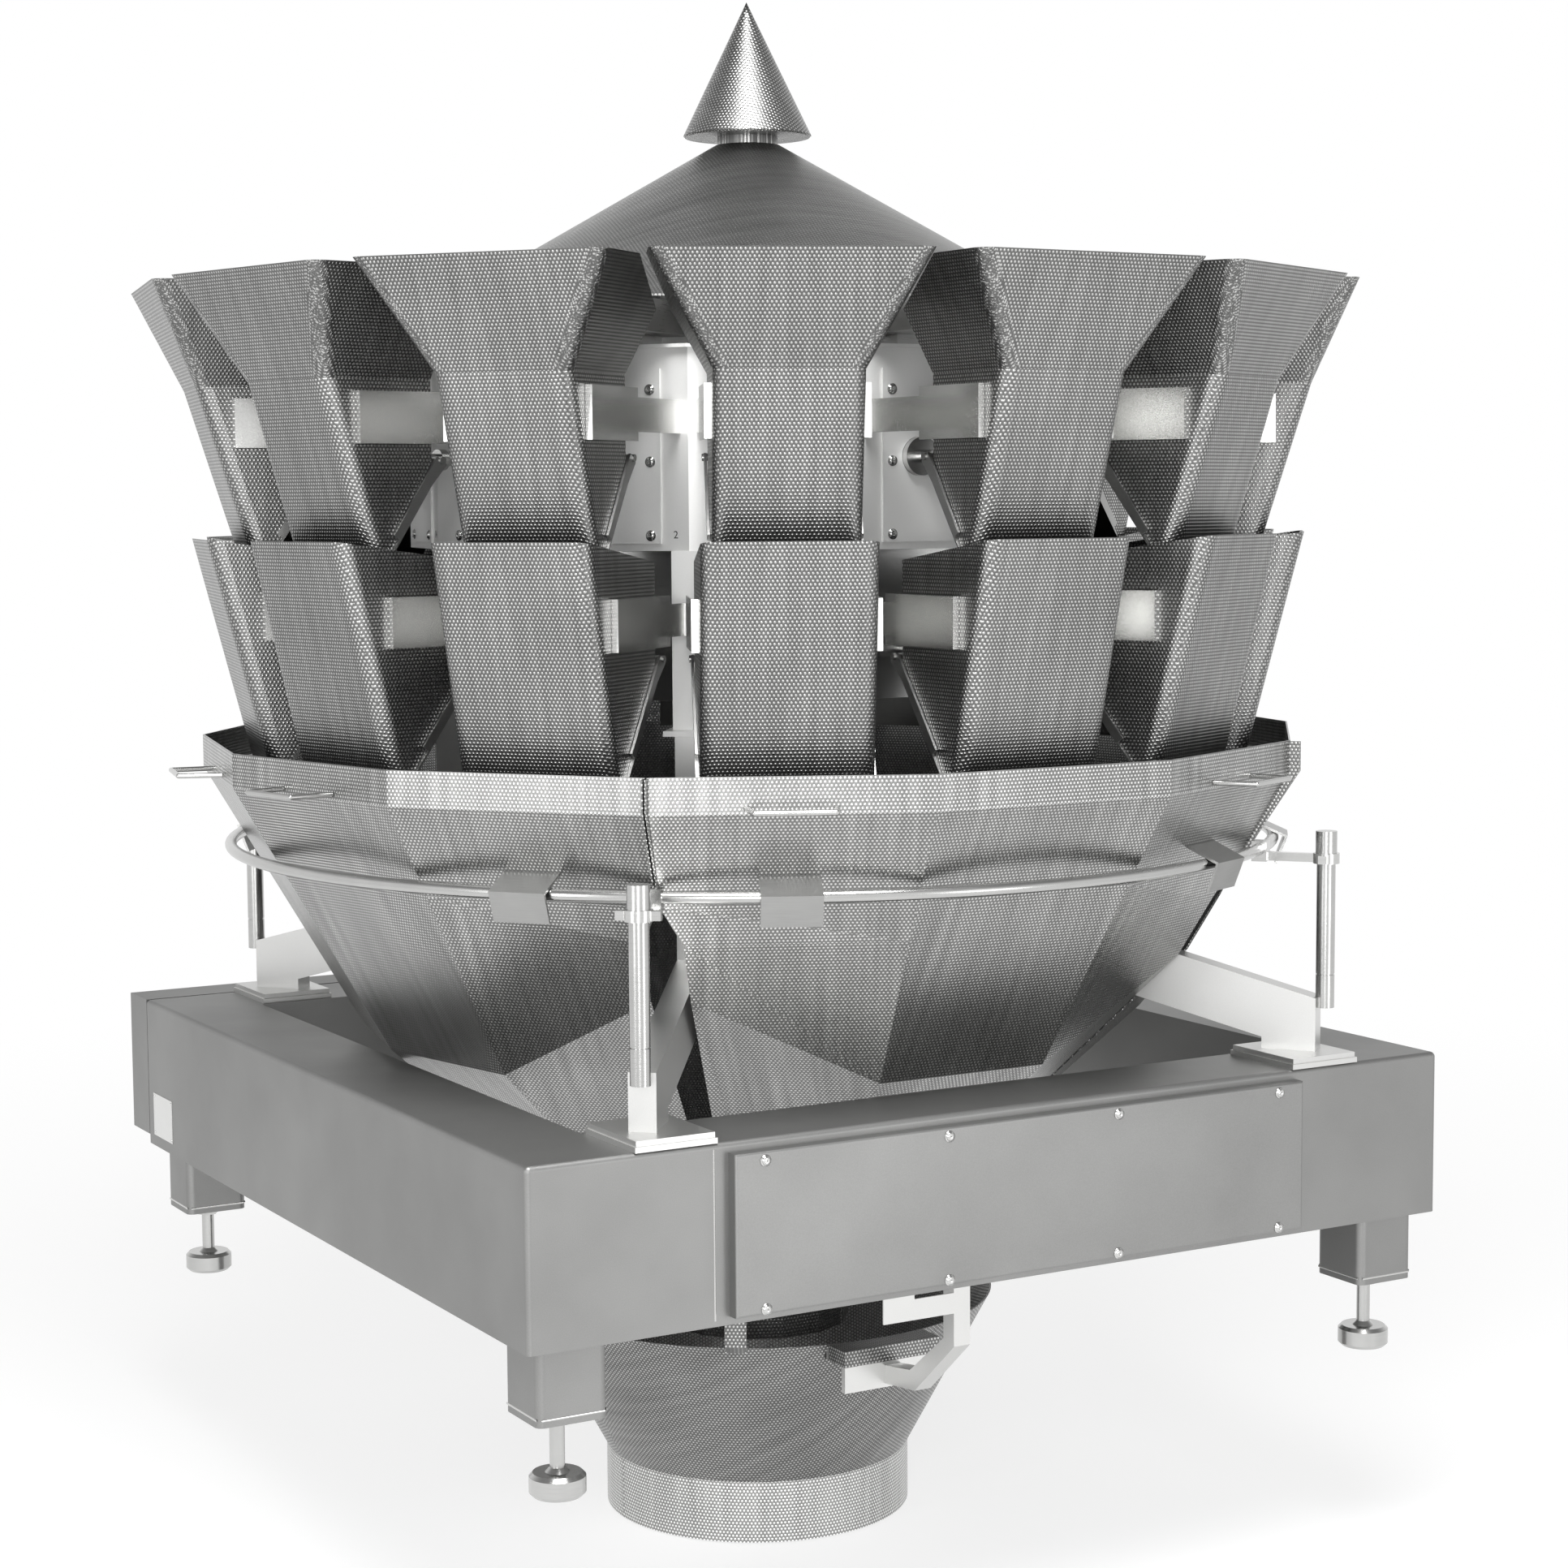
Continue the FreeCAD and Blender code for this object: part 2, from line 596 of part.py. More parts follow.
def hook():
    """Folded plate on a chute panel that lies on the ring and turns down outside it."""
    lean = HOOK_LEAN
    gap = (RING_D / 2 + TOUCH) / math.hypot(lean, 1.0)
    over_r = RING_R + gap * lean
    over_z = RING_Z + gap

    def along(r):
        return (r, over_z - lean * (r - over_r))

    tail = (RING_R + HOOK_TIP, RING_Z - HOOK_TAIL)
    path = [along(RING_R - 2 * HOOK_FOLD), along(RING_R + HOOK_FOLD), tail]
    bent = prism(strip(path, HOOK_T), -HOOK_HALF, HOOK_HALF)
    z0, z1 = RING_Z - RING_DROP, RING_Z + RING_DROP - OVER
    wide = 2 * HOOK_HALF
    inside = prism([(0, z0), (panel_r(z0) + TOUCH, z0), (panel_r(z1) + TOUCH, z1), (0, z1)],
                   -wide, wide)
    return bent.cut(inside)


# ---------------------------------------------------------------- discharge funnel
def funnel():
    """Cone and round spout, with two folded lugs and two upright straps on the rim."""
    lean = SHEET * math.hypot(1.0, (FUNNEL_R - SPOUT_R) / (FUNNEL_TOP - SPOUT_H))
    wall = revolved([(FUNNEL_R, FUNNEL_TOP), (SPOUT_R, SPOUT_H), (SPOUT_R, 0),
                     (SPOUT_R - SHEET, 0), (SPOUT_R - SHEET, SPOUT_H + OVER),
                     (FUNNEL_R - lean, FUNNEL_TOP)])
    z0 = FUNNEL_TOP - LUG_H
    out_r = FUNNEL_R + LUG_OUT
    lug = box(0, out_r, -LUG_HALF, LUG_HALF, z0, FUNNEL_TOP)
    under = box(0, out_r - SHEET, SHEET - LUG_HALF, LUG_HALF - SHEET, z0 - OVER,
                FUNNEL_TOP - SHEET)
    lug = lug.cut(under).cut(Part.makeCone(SPOUT_R - lean / 2, FUNNEL_R - lean / 2,
                                           FUNNEL_TOP - SPOUT_H,
                                           FreeCAD.Vector(0, 0, SPOUT_H)))
    strap = box(FUNNEL_R - SHEET, FUNNEL_R + TOUCH, -STRAP_W / 2, STRAP_W / 2,
                FUNNEL_TOP - 3 * SHEET, FUNNEL_TOP + STRAP_UP)
    pieces = [wall]
    for half_turn in (0, 180):
        pieces += [turned(lug, half_turn), turned(strap, STRAP_TURN + half_turn)]
    return fused(pieces)


def funnel_bracket():
    """Square tube down the beam, out and in again under a shelf that carries a lug."""
    beam_r = FRAME_W / 2 - BEAM_W
    shelf_out = FUNNEL_R + LUG_OUT
    shelf_top = FUNNEL_TOP - LUG_H - TOUCH
    shelf = box(shelf_out - SHELF_T, shelf_out, -LUG_HALF, LUG_HALF, shelf_top - SHELF_H, shelf_top)
    low = shelf_top - SHELF_H / 2
    half = TUBE / 2
    elbow_r = shelf_out + ELBOW_OUT
    bend = low + ELBOW_UP
    path = [(shelf_out, low - half), (elbow_r, bend - half), (beam_r, DROP_Z - half),
            (beam_r, DROP_Z + half), (elbow_r - half, bend + half), (shelf_out, low + half)]
    bent = prism(path, -half, half)
    upright = box(beam_r - TUBE, beam_r, -half, half, DROP_Z - half, BEAM_Z0 + TUBE)
    z0 = BEAM_Z0 - FISH_DROP
    plate = box(beam_r - SHEET, beam_r, -half - FISH_W, -half, z0, BEAM_Z0 + TUBE)
    notch = box(beam_r - TUBE, beam_r + OVER, -half - FISH_NOTCH, -half, z0 + FISH_BAND,
                BEAM_Z0 + TUBE + OVER)
    return fused([shelf, bent, upright, plate.cut(notch)])


# ---------------------------------------------------------------- drive housing
def upper_housing():
    """Closed fourteen-sided housing with a lid that stands out all round."""
    shell = sided_prism(BODY_R, BODY_Z0, BODY_Z1)
    inside = sided_prism(BODY_R - BODY_WALL, BODY_Z0 + BODY_WALL, BODY_Z1 - BODY_WALL)
    cap = sided_prism(BODY_R + CAP_OVER, BODY_Z1, BODY_Z1 + CAP_T)
    return fused([shell.cut(inside), cap, cone_seat()])


def drive_cover():
    """Screwed cover plate on one face of the housing, with a bore for the pusher's gland."""
    z0 = BODY_Z0 + CAP_OVER
    plate = box(BODY_FACE, BODY_FACE + COVER_T, -COVER_HALF, COVER_HALF, z0, z0 + COVER_TALL)
    bore = rod(point(BODY_FACE - OVER, PUSH_T, FEED_ROLLER[1]),
               point(BODY_FACE + COVER_T + OVER, PUSH_T, FEED_ROLLER[1]), GLAND_D)
    return plate.cut(bore)


def pusher(root, roller):
    """Round rod with a lock nut, that ends just short of a gate's roller."""
    r, z = roller
    tip = r - ROLLER_D / 2 - TOUCH
    nut_out = tip - PUSH_D
    pin = rod(point(root, PUSH_T, z), point(tip, PUSH_T, z), PUSH_D)
    nut = rod(point(nut_out - PUSH_NUT, PUSH_T, z), point(nut_out, PUSH_T, z),
              PUSH_D + NUT_OVER)
    return [pin, nut]


def feed_actuator():
    """Gland in the cover plate's bore with the feed pusher through it."""
    z = FEED_ROLLER[1]
    gland = rod(point(BODY_FACE, PUSH_T, z), point(BODY_FACE + GLAND_T, PUSH_T, z),
                GLAND_D - 2 * TOUCH)
    return fused([gland] + pusher(BODY_FACE, FEED_ROLLER))


def lower_drum():
    inside = sided_prism(DRUM_R - DRUM_WALL, DRUM_Z0 + DRUM_WALL, BODY_Z0 - DRUM_WALL)
    return sided_prism(DRUM_R, DRUM_Z0, BODY_Z0).cut(inside)


# ---------------------------------------------------------------- cones and feeders
def dispersion_cone():
    return revolved([(0, CONE_TOP), (CONE_TOP_R, CONE_TOP), (CONE_R, CONE_EDGE + CONE_T),
                     (CONE_R, CONE_EDGE), (CONE_TOP_R, CONE_TOP - CONE_T),
                     (0, CONE_TOP - CONE_T)])


def cone_seat():
    """Boss on the housing's lid that carries the dispersion cone."""
    under = CONE_EDGE + CONE_RUN * (CONE_R - SEAT_R) - TOUCH
    return Part.makeCylinder(SEAT_R, under - BODY_Z1, FreeCAD.Vector(0, 0, BODY_Z1))


def top_cone():
    """Spike on a short neck, hollow from below."""
    neck = CONE_TOP_R - BODY_WALL
    solid = revolved([(0, SPIKE_TOP), (SPIKE_R, SPIKE_Z + SHEET), (SPIKE_R - SHEET, SPIKE_Z),
                      (neck, SPIKE_Z), (neck, CONE_TOP), (0, CONE_TOP)])
    hollow = Part.makeCone(neck - BODY_WALL, TOUCH, (SPIKE_TOP - CONE_TOP) * 0.65,
                           FreeCAD.Vector(0, 0, CONE_TOP))
    return solid.cut(hollow)


def feeder_pan():
    """Open vibrating trough from under the cone to its hopper, on a drive block."""
    pan = box(PAN_IN, PAN_OUT, -PAN_HALF, PAN_HALF, PAN_Z, PAN_Z + PAN_WALL)
    inside = box(PAN_IN - OVER, PAN_OUT + OVER, SHEET - PAN_HALF, PAN_HALF - SHEET,
                 PAN_Z + SHEET, PAN_Z + PAN_WALL + OVER)
    drive = box(PAN_IN + CAP_OVER, BODY_FACE, -PAN_BLOCK, PAN_BLOCK, BODY_Z1 + CAP_T, PAN_Z)
    return fused([pan.cut(inside), drive])


# ---------------------------------------------------------------- hoppers
def is_front_bend(e, r_low):
    """True for the long slanting edges at a hopper's front corners."""
    a, b = e.Vertexes[0].Point, e.Vertexes[-1].Point
    return abs(a.z - b.z) > 2 * BEND_R and -a.y > r_low and -b.y > r_low


def hopper_shaft(top, back, back_z, hinge_z, low, half):
    """Folded shaft, open above and below: upright back, leaning front, rounded corners."""
    lean = (top[0] - low[0]) / (top[1] - low[1])
    body = prism([top, (back, back_z), (back, hinge_z), low], -half, half)
    body = rounded(body, lambda e: is_front_bend(e, low[0] - OVER), BEND_R)
    wall = SHEET * math.hypot(lean, 1)
    up = top[1] + BEND_R
    down = low[1] - BEND_R
    hollow = [(top[0] - wall + lean * BEND_R, up), (back + SHEET, up), (back + SHEET, down),
              (low[0] - wall - lean * BEND_R, down)]
    hollow = prism(hollow, SHEET - half, half - SHEET)
    low_r = low[0] - wall - lean * BEND_R - OVER
    return body.cut(rounded(hollow, lambda e: is_front_bend(e, low_r), BEND_R - SHEET))


def feed_hopper():
    """Shaft with a flared collar that is open at the back for the feeder pan."""
    body = hopper_shaft((FEED_SEAM_R, FEED_SEAM_Z), FEED_BACK, FEED_SEAM_Z, FEED_HINGE_Z,
                        FEED_LOW, FEED_HALF)
    outer = flare_solid(FEED_SEAM_Z, FLARE_TOP, 0.0)
    outer = rounded(outer, lambda e: is_front_bend(e, FEED_BACK + BEND_R), BEND_R)
    inner = flare_solid(FEED_SEAM_Z - SHEET, FLARE_TOP + SHEET, SHEET)
    inner = rounded(inner, lambda e: is_front_bend(e, FEED_BACK + BEND_R), BEND_R - SHEET)
    wide = 2 * FLARE_HALF
    above = FLARE_TOP + BEND_R
    behind = FEED_BACK - FEED_DEEP
    notch = prism([(FLARE_BACK, above), (FLARE_BACK, FLARE_TOP), (FEED_BACK, FLARE_KNEE),
                   (behind, FLARE_KNEE), (behind, above)], -wide, wide)
    return fused([body, outer.cut(inner).cut(notch)])


def flare_solid(z0, z1, inset):
    """Widening collar above the seam; an inset one is longer at the back and cuts it open."""
    widen = FLARE_WIDE / FLARE_H
    reach = FLARE_OUT / FLARE_H
    back = FEED_BACK - (FEED_DEEP / 2 if inset else 0)
    rows = []
    for z in (z0, z1):
        half = FEED_HALF + widen * (z - FEED_SEAM_Z) - inset * math.hypot(widen, 1)
        front = FEED_SEAM_R + reach * (z - FEED_SEAM_Z) - inset * math.hypot(reach, 1)
        corners_at = [point(front, -half, z), point(front, half, z),
                      point(back, half, z), point(back, -half, z)]
        rows.append(Part.makePolygon(corners_at + corners_at[:1]))
    return Part.makeLoft(rows, True, True)


def weigh_hopper():
    """Shaft with a lowered back, which clears the feed gate's levers."""
    body = hopper_shaft((WEIGH_TOP_R, WEIGH_TOP_Z), WEIGH_BACK, WEIGH_BACK_Z, WEIGH_HINGE_Z,
                        WEIGH_LOW, WEIGH_HALF)
    in_half = WEIGH_HALF - SHEET
    return body.cut(box(WEIGH_BACK - OVER, WEIGH_BACK + SHEET + OVER, -in_half, in_half,
                        WEIGH_SILL_Z, WEIGH_TOP_Z))


def gate(hinge, low, half, pivot, roller):
    """Closed gate: a plate under the slanting edges, two side arms, a hinge rod and a lever."""
    dr, dz = low[0] - hinge[0], low[1] - hinge[1]
    run = math.hypot(dr, dz)
    ur, uz = dr / run, dz / run
    nr, nz = uz, -ur
    wide = half + RUN + GATE_ARM
    under = TOUCH + GATE_T

    def at(along, off):
        return (hinge[0] + ur * along + nr * off, hinge[1] + uz * along + nz * off)

    plate = prism([at(-GATE_LIP, TOUCH), at(run, TOUCH), at(run, under), at(-GATE_LIP, under)],
                  -wide, wide)
    reach = run * GATE_REACH
    near = (pivot[0] + GATE_EYE * 0.8, pivot[1] + GATE_EYE * 0.6)
    far = (pivot[0] - GATE_EYE * 0.8, pivot[1] - GATE_EYE * 0.6)
    side = prism([near, at(reach, -GATE_EYE), at(reach, under), at(GATE_EYE, under), far],
                 half + RUN, wide)
    pin_end = wide + GATE_LIP
    pin = rod(point(pivot[0], -pin_end, pivot[1]), point(pivot[0], pin_end, pivot[1]), GATE_PIN)
    lever = prism([(pivot[0] + LEVER_HALF, pivot[1] - LEVER_H),
                   (pivot[0] + LEVER_HALF, pivot[1] + LEVER_H),
                   (roller[0], roller[1] + LEVER_H), (roller[0], roller[1] - LEVER_H)],
                  PUSH_T - LEVER_HALF, PUSH_T + LEVER_HALF)
    wheel = rod(point(roller[0], PUSH_T - ROLLER_HALF, roller[1]),
                point(roller[0], PUSH_T + ROLLER_HALF, roller[1]), ROLLER_D)
    web = prism([pivot, at(-GATE_LIP, TOUCH), at(GATE_EYE, under),
                 (pivot[0] - LEVER_HALF, pivot[1] - LEVER_HALF)], -half / 3, half / 3)
    return fused([plate, pin, lever, wheel, web, side, mirrored(side)])


# ---------------------------------------------------------------- hangers
def hanger_bar(root, half, tab):
    """Flat bar that fills a hopper's channel, from its root out to the channel's end."""
    return box(root, tab[1] - SHEET - TOUCH, half + TOUCH, half + TAB_OFF - SHEET - TOUCH,
               tab[2] + BAR_INSET, tab[3] - BAR_INSET)


def channel(half, tab):
    """Open channel on a hopper's side that slides over its hanger bar."""
    r0, r1, z0, z1 = tab
    a, b = half + TOUCH, half + TAB_OFF
    whole = box(r0, r1, a, b, z0, z1)
    return whole.cut(box(r0 - OVER, r1 - SHEET, a - OVER, b - SHEET, z0 - OVER, z1 + OVER))


def channels(half, tab):
    """Both channels of every head's hopper."""
    one = channel(half, tab)
    return all_heads(one) + all_heads(mirrored(one))


def weigh_hanger(seam):
    """Fork on one corner line of the drum that carries the sides of two hoppers."""
    bar = hanger_bar(DRUM_R + FORK_R, WEIGH_HALF, WEIGH_TAB)
    left = turned(bar, -STEP / 2)
    right = turned(mirrored(bar), STEP / 2)
    root = DRUM_R + (POST_DEEP if seam else 0)
    web = box(root, DRUM_R + WEB_LEN, -WEB_HALF, WEB_HALF, WEIGH_TAB[2] + BAR_INSET,
              WEIGH_TAB[3] - BAR_INSET)
    return fused([left, right, web])


def weigh_hangers():
    forks = []
    for k in range(HEADS):
        turn = STEP * (k + 0.5)
        off_seam = min(abs((turn - s + 180) % 360 - 180) for s in seam_turns())
        forks.append(turned(weigh_hanger(off_seam < STEP / 4), turn))
    return forks


def main():
    save("base_frame", [base_frame()])
    save("front_cover", [front_cover()])
    save("back_box", [back_box()])
    save("legs", corners(leg()))
    save("levelling_feet", corners(foot()))
    save("arm_plates", arm_plates())
    one_arm = arm()
    save("body_arms", at_seams(one_arm))
    save("body_posts", at_seams(body_post()))
    ring = support_ring()
    save("support_ring", [ring])
    save("ring_posts", at_seams(ring_post(one_arm)))
    save("ring_clamps", at_seams(ring_clamp(ring)))

    save("chute_front", [chute_sector(-1, 3)])
    save("chute_right", [chute_sector(2, 4)])
    save("chute_back", [chute_sector(6, 3)])
    save("chute_left", [chute_sector(9, 4)])
    save("chute_handles", [turned(handle(), k * STEP) for k in HANDLES])
    save("chute_hooks", [turned(hook(), k * STEP) for k in HOOKS])
    save("discharge_funnel", [funnel()])
    save("funnel_brackets", [turned(funnel_bracket(), a) for a in (0, 180)])

    save("upper_housing", [upper_housing()])
    save("drive_covers", all_heads(drive_cover()))
    save("feed_actuators", all_heads(feed_actuator()))
    drum_face = DRUM_R * math.cos(HALF)
    save("weigh_pushers", all_heads(fused(pusher(drum_face, WEIGH_ROLLER))))
    save("lower_drum", [lower_drum()])
    save("dispersion_cone", [dispersion_cone()])
    save("top_cone", [top_cone()])
    save("feeder_pans", all_heads(feeder_pan()))

    feed = feed_hopper()
    weigh = weigh_hopper()
    for k in range(HEADS // 2):
        other = k + HEADS // 2
        names = "_%02d_%02d" % (k + 1, other + 1)
        save("feed_hoppers" + names, [turned(feed, k * STEP), turned(feed, other * STEP)])
        save("weigh_hoppers" + names, [turned(weigh, k * STEP), turned(weigh, other * STEP)])
    feed_gate = gate((FEED_BACK, FEED_HINGE_Z), FEED_LOW, FEED_HALF, FEED_PIVOT, FEED_ROLLER)
    save("feed_gates", all_heads(feed_gate))
    weigh_gate = gate((WEIGH_BACK, WEIGH_HINGE_Z), WEIGH_LOW, WEIGH_HALF, WEIGH_PIVOT,
                      WEIGH_ROLLER)
    save("weigh_gates", all_heads(weigh_gate))
    bar = hanger_bar(BODY_FACE, FEED_HALF, FEED_TAB)
    save("feed_hangers", all_heads(bar) + all_heads(mirrored(bar)) + channels(FEED_HALF, FEED_TAB))
    save("weigh_hangers", weigh_hangers() + channels(WEIGH_HALF, WEIGH_TAB))


main()
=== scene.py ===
# %% [markdown]
# # A fourteen-head multihead weigher
#
# The machine drops product onto a cone, shakes it outward along fourteen pans, and lets
# each pan fill a feed hopper and then a weigh hopper. Four chute sectors collect what the
# hoppers let go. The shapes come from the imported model. This lesson gives every sheet its
# finish and adds the small things that a fitter would touch or see: screws, welds, numbers.

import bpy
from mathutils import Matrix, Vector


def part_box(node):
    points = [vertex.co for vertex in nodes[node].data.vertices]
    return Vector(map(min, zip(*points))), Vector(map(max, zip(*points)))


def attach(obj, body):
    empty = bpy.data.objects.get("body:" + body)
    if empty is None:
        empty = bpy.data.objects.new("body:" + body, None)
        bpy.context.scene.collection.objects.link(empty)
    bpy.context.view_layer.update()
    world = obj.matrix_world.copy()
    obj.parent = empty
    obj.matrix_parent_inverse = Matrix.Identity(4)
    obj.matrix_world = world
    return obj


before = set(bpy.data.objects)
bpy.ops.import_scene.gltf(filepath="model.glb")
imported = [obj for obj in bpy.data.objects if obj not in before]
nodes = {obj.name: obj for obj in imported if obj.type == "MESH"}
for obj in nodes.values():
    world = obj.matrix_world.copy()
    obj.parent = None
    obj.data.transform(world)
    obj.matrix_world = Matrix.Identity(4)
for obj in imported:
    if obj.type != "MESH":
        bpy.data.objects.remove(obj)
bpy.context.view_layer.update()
print("pieces in the packed model:", len(nodes))

# %% Modules for the lesson
import math

import bmesh
import bpy
from mathutils import Matrix, Vector

MM = 0.001
HEADS = 14
BODY_FACE = 411.4 * MM          # from the axis to a face of the drive housing
STEP = 2 * math.pi / HEADS
scene = bpy.context.scene

# %% [markdown]
# ## Sizes that come from the model
#
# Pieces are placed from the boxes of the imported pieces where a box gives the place. The few
# distances that no box gives, such as the screw rows, are typed in millimetres. The front
# head stands towards -Y. Its hoppers, its housing face and its pan lie in one upright plane,
# so a point of any head is given by its distance from the axis, its offset to the right, and
# its height.

# %% Boxes of the main pieces
feed_low, feed_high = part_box("feed_hoppers_01_08")
weigh_low, weigh_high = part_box("weigh_hoppers_01_08")
cone_low, cone_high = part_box("dispersion_cone")
spike_low, spike_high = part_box("top_cone")
frame_low, frame_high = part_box("base_frame")
cover_low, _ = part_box("front_cover")
leg_low, leg_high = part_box("legs")
print("frame width %.3f m, height of the machine %.3f m"
      % (frame_high.x - frame_low.x, spike_high.z))


def head_point(head, r, t, z):
    """Point of one head: r from the axis, t to the right seen from outside, z up."""
    turn = head * STEP
    x, y = t, -r
    return Vector((x * math.cos(turn) - y * math.sin(turn),
                   x * math.sin(turn) + y * math.cos(turn), z))


# %% [markdown]
# ## A short way to write material graphs
#
# A material in Blender is a graph of small sums. Written node by node it fills pages, so
# this class turns each sum into one short call and hands back the socket with the result.

# %% Graph helper
class Graph:
    def __init__(self, name, metal=True):
        self.material = bpy.data.materials.new(name)
        self.material.use_nodes = True
        self.tree = self.material.node_tree
        self.shader = self.tree.nodes["Principled BSDF"]
        self.shader.inputs["Metallic"].default_value = 1.0 if metal else 0.0

    def node(self, kind, inputs=(), **settings):
        made = self.tree.nodes.new(kind)
        for key, value in settings.items():
            setattr(made, key, value)
        for slot, value in dict(inputs).items():
            self.feed(made.inputs[slot], value)
        return made

    def feed(self, socket, value):
        if isinstance(value, bpy.types.NodeSocket):
            self.tree.links.new(value, socket)
        else:
            socket.default_value = value

    def math(self, operation, a, b=0.0, c=0.0):
        made = self.node("ShaderNodeMath", operation=operation)
        for socket, value in zip(made.inputs, (a, b, c)):
            self.feed(socket, value)
        return made.outputs[0]

    def vector(self, operation, a, b=(0.0, 0.0, 0.0)):
        made = self.node("ShaderNodeVectorMath", operation=operation)
        self.feed(made.inputs[0], a)
        self.feed(made.inputs[1], b)
        return made.outputs["Value" if operation == "DOT_PRODUCT" else "Vector"]

    def length(self, a, b):
        """Length of the longest side of a right triangle."""
        return self.math("SQRT", self.math("ADD", self.math("POWER", a, 2.0),
                                           self.math("POWER", b, 2.0)))

    def mix(self, share, a, b):
        """a where share is 0, b where it is 1."""
        rest = self.math("SUBTRACT", 1.0, share)
        return self.math("ADD", self.math("MULTIPLY", a, rest), self.math("MULTIPLY", b, share))

    def split(self, vector):
        return self.node("ShaderNodeSeparateXYZ", {0: vector}).outputs

    def join(self, x, y, z=0.0):
        return self.node("ShaderNodeCombineXYZ", {0: x, 1: y, 2: z}).outputs[0]

    def noise(self, where, scale, detail=2.0):
        made = self.node("ShaderNodeTexNoise",
                         {"Vector": where, "Scale": scale, "Detail": detail})
        return made.outputs[0]

    def spread(self, value, low, high):
        """Maps 0..1 to low..high."""
        made = self.node("ShaderNodeMapRange", {0: value, 3: low, 4: high})
        return made.outputs[0]

    def range(self, value, from_low, from_high, low, high):
        made = self.node("ShaderNodeMapRange",
                         {0: value, 1: from_low, 2: from_high, 3: low, 4: high},
                         interpolation_type="SMOOTHSTEP")
        return made.outputs[0]

    def grey(self, value, tint=(1.0, 1.0, 0.985)):
        """Colour of a neutral steel from one brightness."""
        return self.join(*[self.math("MULTIPLY", value, part) for part in tint])

    def bump(self, height, depth, strength=1.0, below=None):
        made = self.node("ShaderNodeBump", {"Height": height, "Distance": depth,
                                            "Strength": strength})
        if below is not None:
            self.feed(made.inputs["Normal"], below)
        return made.outputs[0]

    def place(self):
        return self.node("ShaderNodeNewGeometry").outputs["Position"]

    def finish(self, colour, roughness, normal):
        self.feed(self.shader.inputs["Base Color"], colour)
        self.feed(self.shader.inputs["Roughness"], roughness)
        self.feed(self.shader.inputs["Normal"], normal)
        return self.material


# %% [markdown]
# ## The dimpled sheet
#
# Everything that touches product is made of rolled stainless sheet with small round bumps,
# so that sticky food lets go of it. The bumps stand in staggered rows a few millimetres
# apart. A picture could carry them, but a formula stays sharp at any distance: two plain
# grids of domes, the second shifted by half a step both ways, give the staggered rows.
# The domes drive the bump, and they also set the colour: the ground between them is
# darkened as painted shade, and their tops are lightened as a painted highlight.

# %% Dome pattern
PITCH = 4.6 * MM                # centre to centre along a row
ROW = 4.0 * MM                  # row to row, half of the grid's upright step
DOME = 1.9 * MM                 # radius of a bump
BUMP_H = 0.35 * MM              # and its height


def domes(g, u, v):
    """Height 0..1 of staggered bumps over the sheet coordinates u and v, in metres."""
    def grid(shift):
        across = g.math("FRACT", g.math("ADD", g.math("DIVIDE", u, PITCH), shift))
        along = g.math("FRACT", g.math("ADD", g.math("DIVIDE", v, 2 * ROW), shift))
        du = g.math("MULTIPLY", g.math("SUBTRACT", across, 0.5), PITCH)
        dv = g.math("MULTIPLY", g.math("SUBTRACT", along, 0.5), 2 * ROW)
        return g.range(g.length(du, dv), 0.15 * DOME, DOME, 1.0, 0.0)
    return g.math("MAXIMUM", grid(0.0), grid(0.5))


# %% [markdown]
# The pattern lies in the sheet, and the sheet was rolled and folded after it was dimpled.
# Each family of parts therefore gets its own way to find the flat coordinates again:
#
# - flat chute panels: two directions that lie in the panel, found from its normal;
# - hoppers: across the head on the front and outward on the sides, so the rows of the two
#   meet at the folded corners, with a ragged line where a collar's corner is rounded;
# - cones and spouts: the unrolled fan of the cone, where straight rows become slanting ones.

# %% Flat coordinates on a folded panel
def panel_sheet(g):
    normal = g.node("ShaderNodeNewGeometry").outputs["True Normal"]
    level = g.vector("NORMALIZE", g.vector("CROSS_PRODUCT", (0.0003, 0.0, 1.0), normal))
    uphill = g.vector("CROSS_PRODUCT", normal, level)
    here = g.place()
    return g.vector("DOT_PRODUCT", here, level), g.vector("DOT_PRODUCT", here, uphill)


# %% Flat coordinates on a hopper
SIDE_FACING = 0.7               # a face counts as a side when its normal leans this far over


def hopper_sheet(g, middle):
    """Rows follow the head: across its front, and outward along its sides."""
    x, y, z = g.split(g.place())
    azimuth = g.math("ARCTAN2", x, g.math("MULTIPLY", y, -1.0))
    nearest = g.math("MULTIPLY", g.math("ROUND", g.math("DIVIDE", azimuth, STEP)), STEP)
    back = g.node("ShaderNodeVectorRotate", {"Angle": g.math("MULTIPLY", nearest, -1.0)},
                  rotation_type="Z_AXIS")
    g.feed(back.inputs["Vector"], g.place())
    across, deep, _ = g.split(back.outputs[0])
    facing = g.node("ShaderNodeVectorRotate", {"Angle": g.math("MULTIPLY", nearest, -1.0)},
                    rotation_type="Z_AXIS")
    g.feed(facing.inputs["Vector"], g.node("ShaderNodeNewGeometry").outputs["True Normal"])
    side, _, lean = g.split(facing.outputs[0])
    on_side = g.math("GREATER_THAN", g.math("ABSOLUTE", side), SIDE_FACING)
    u = g.math("ADD", g.math("MULTIPLY", across, g.math("SUBTRACT", 1.0, on_side)),
               g.math("MULTIPLY", deep, on_side))
    slope = g.math("SQRT", g.math("MAXIMUM", 0.1, g.math("SUBTRACT", 1.0,
                                                         g.math("POWER", lean, 2.0))))
    v = g.math("DIVIDE", g.math("SUBTRACT", z, middle), slope)
    return u, v


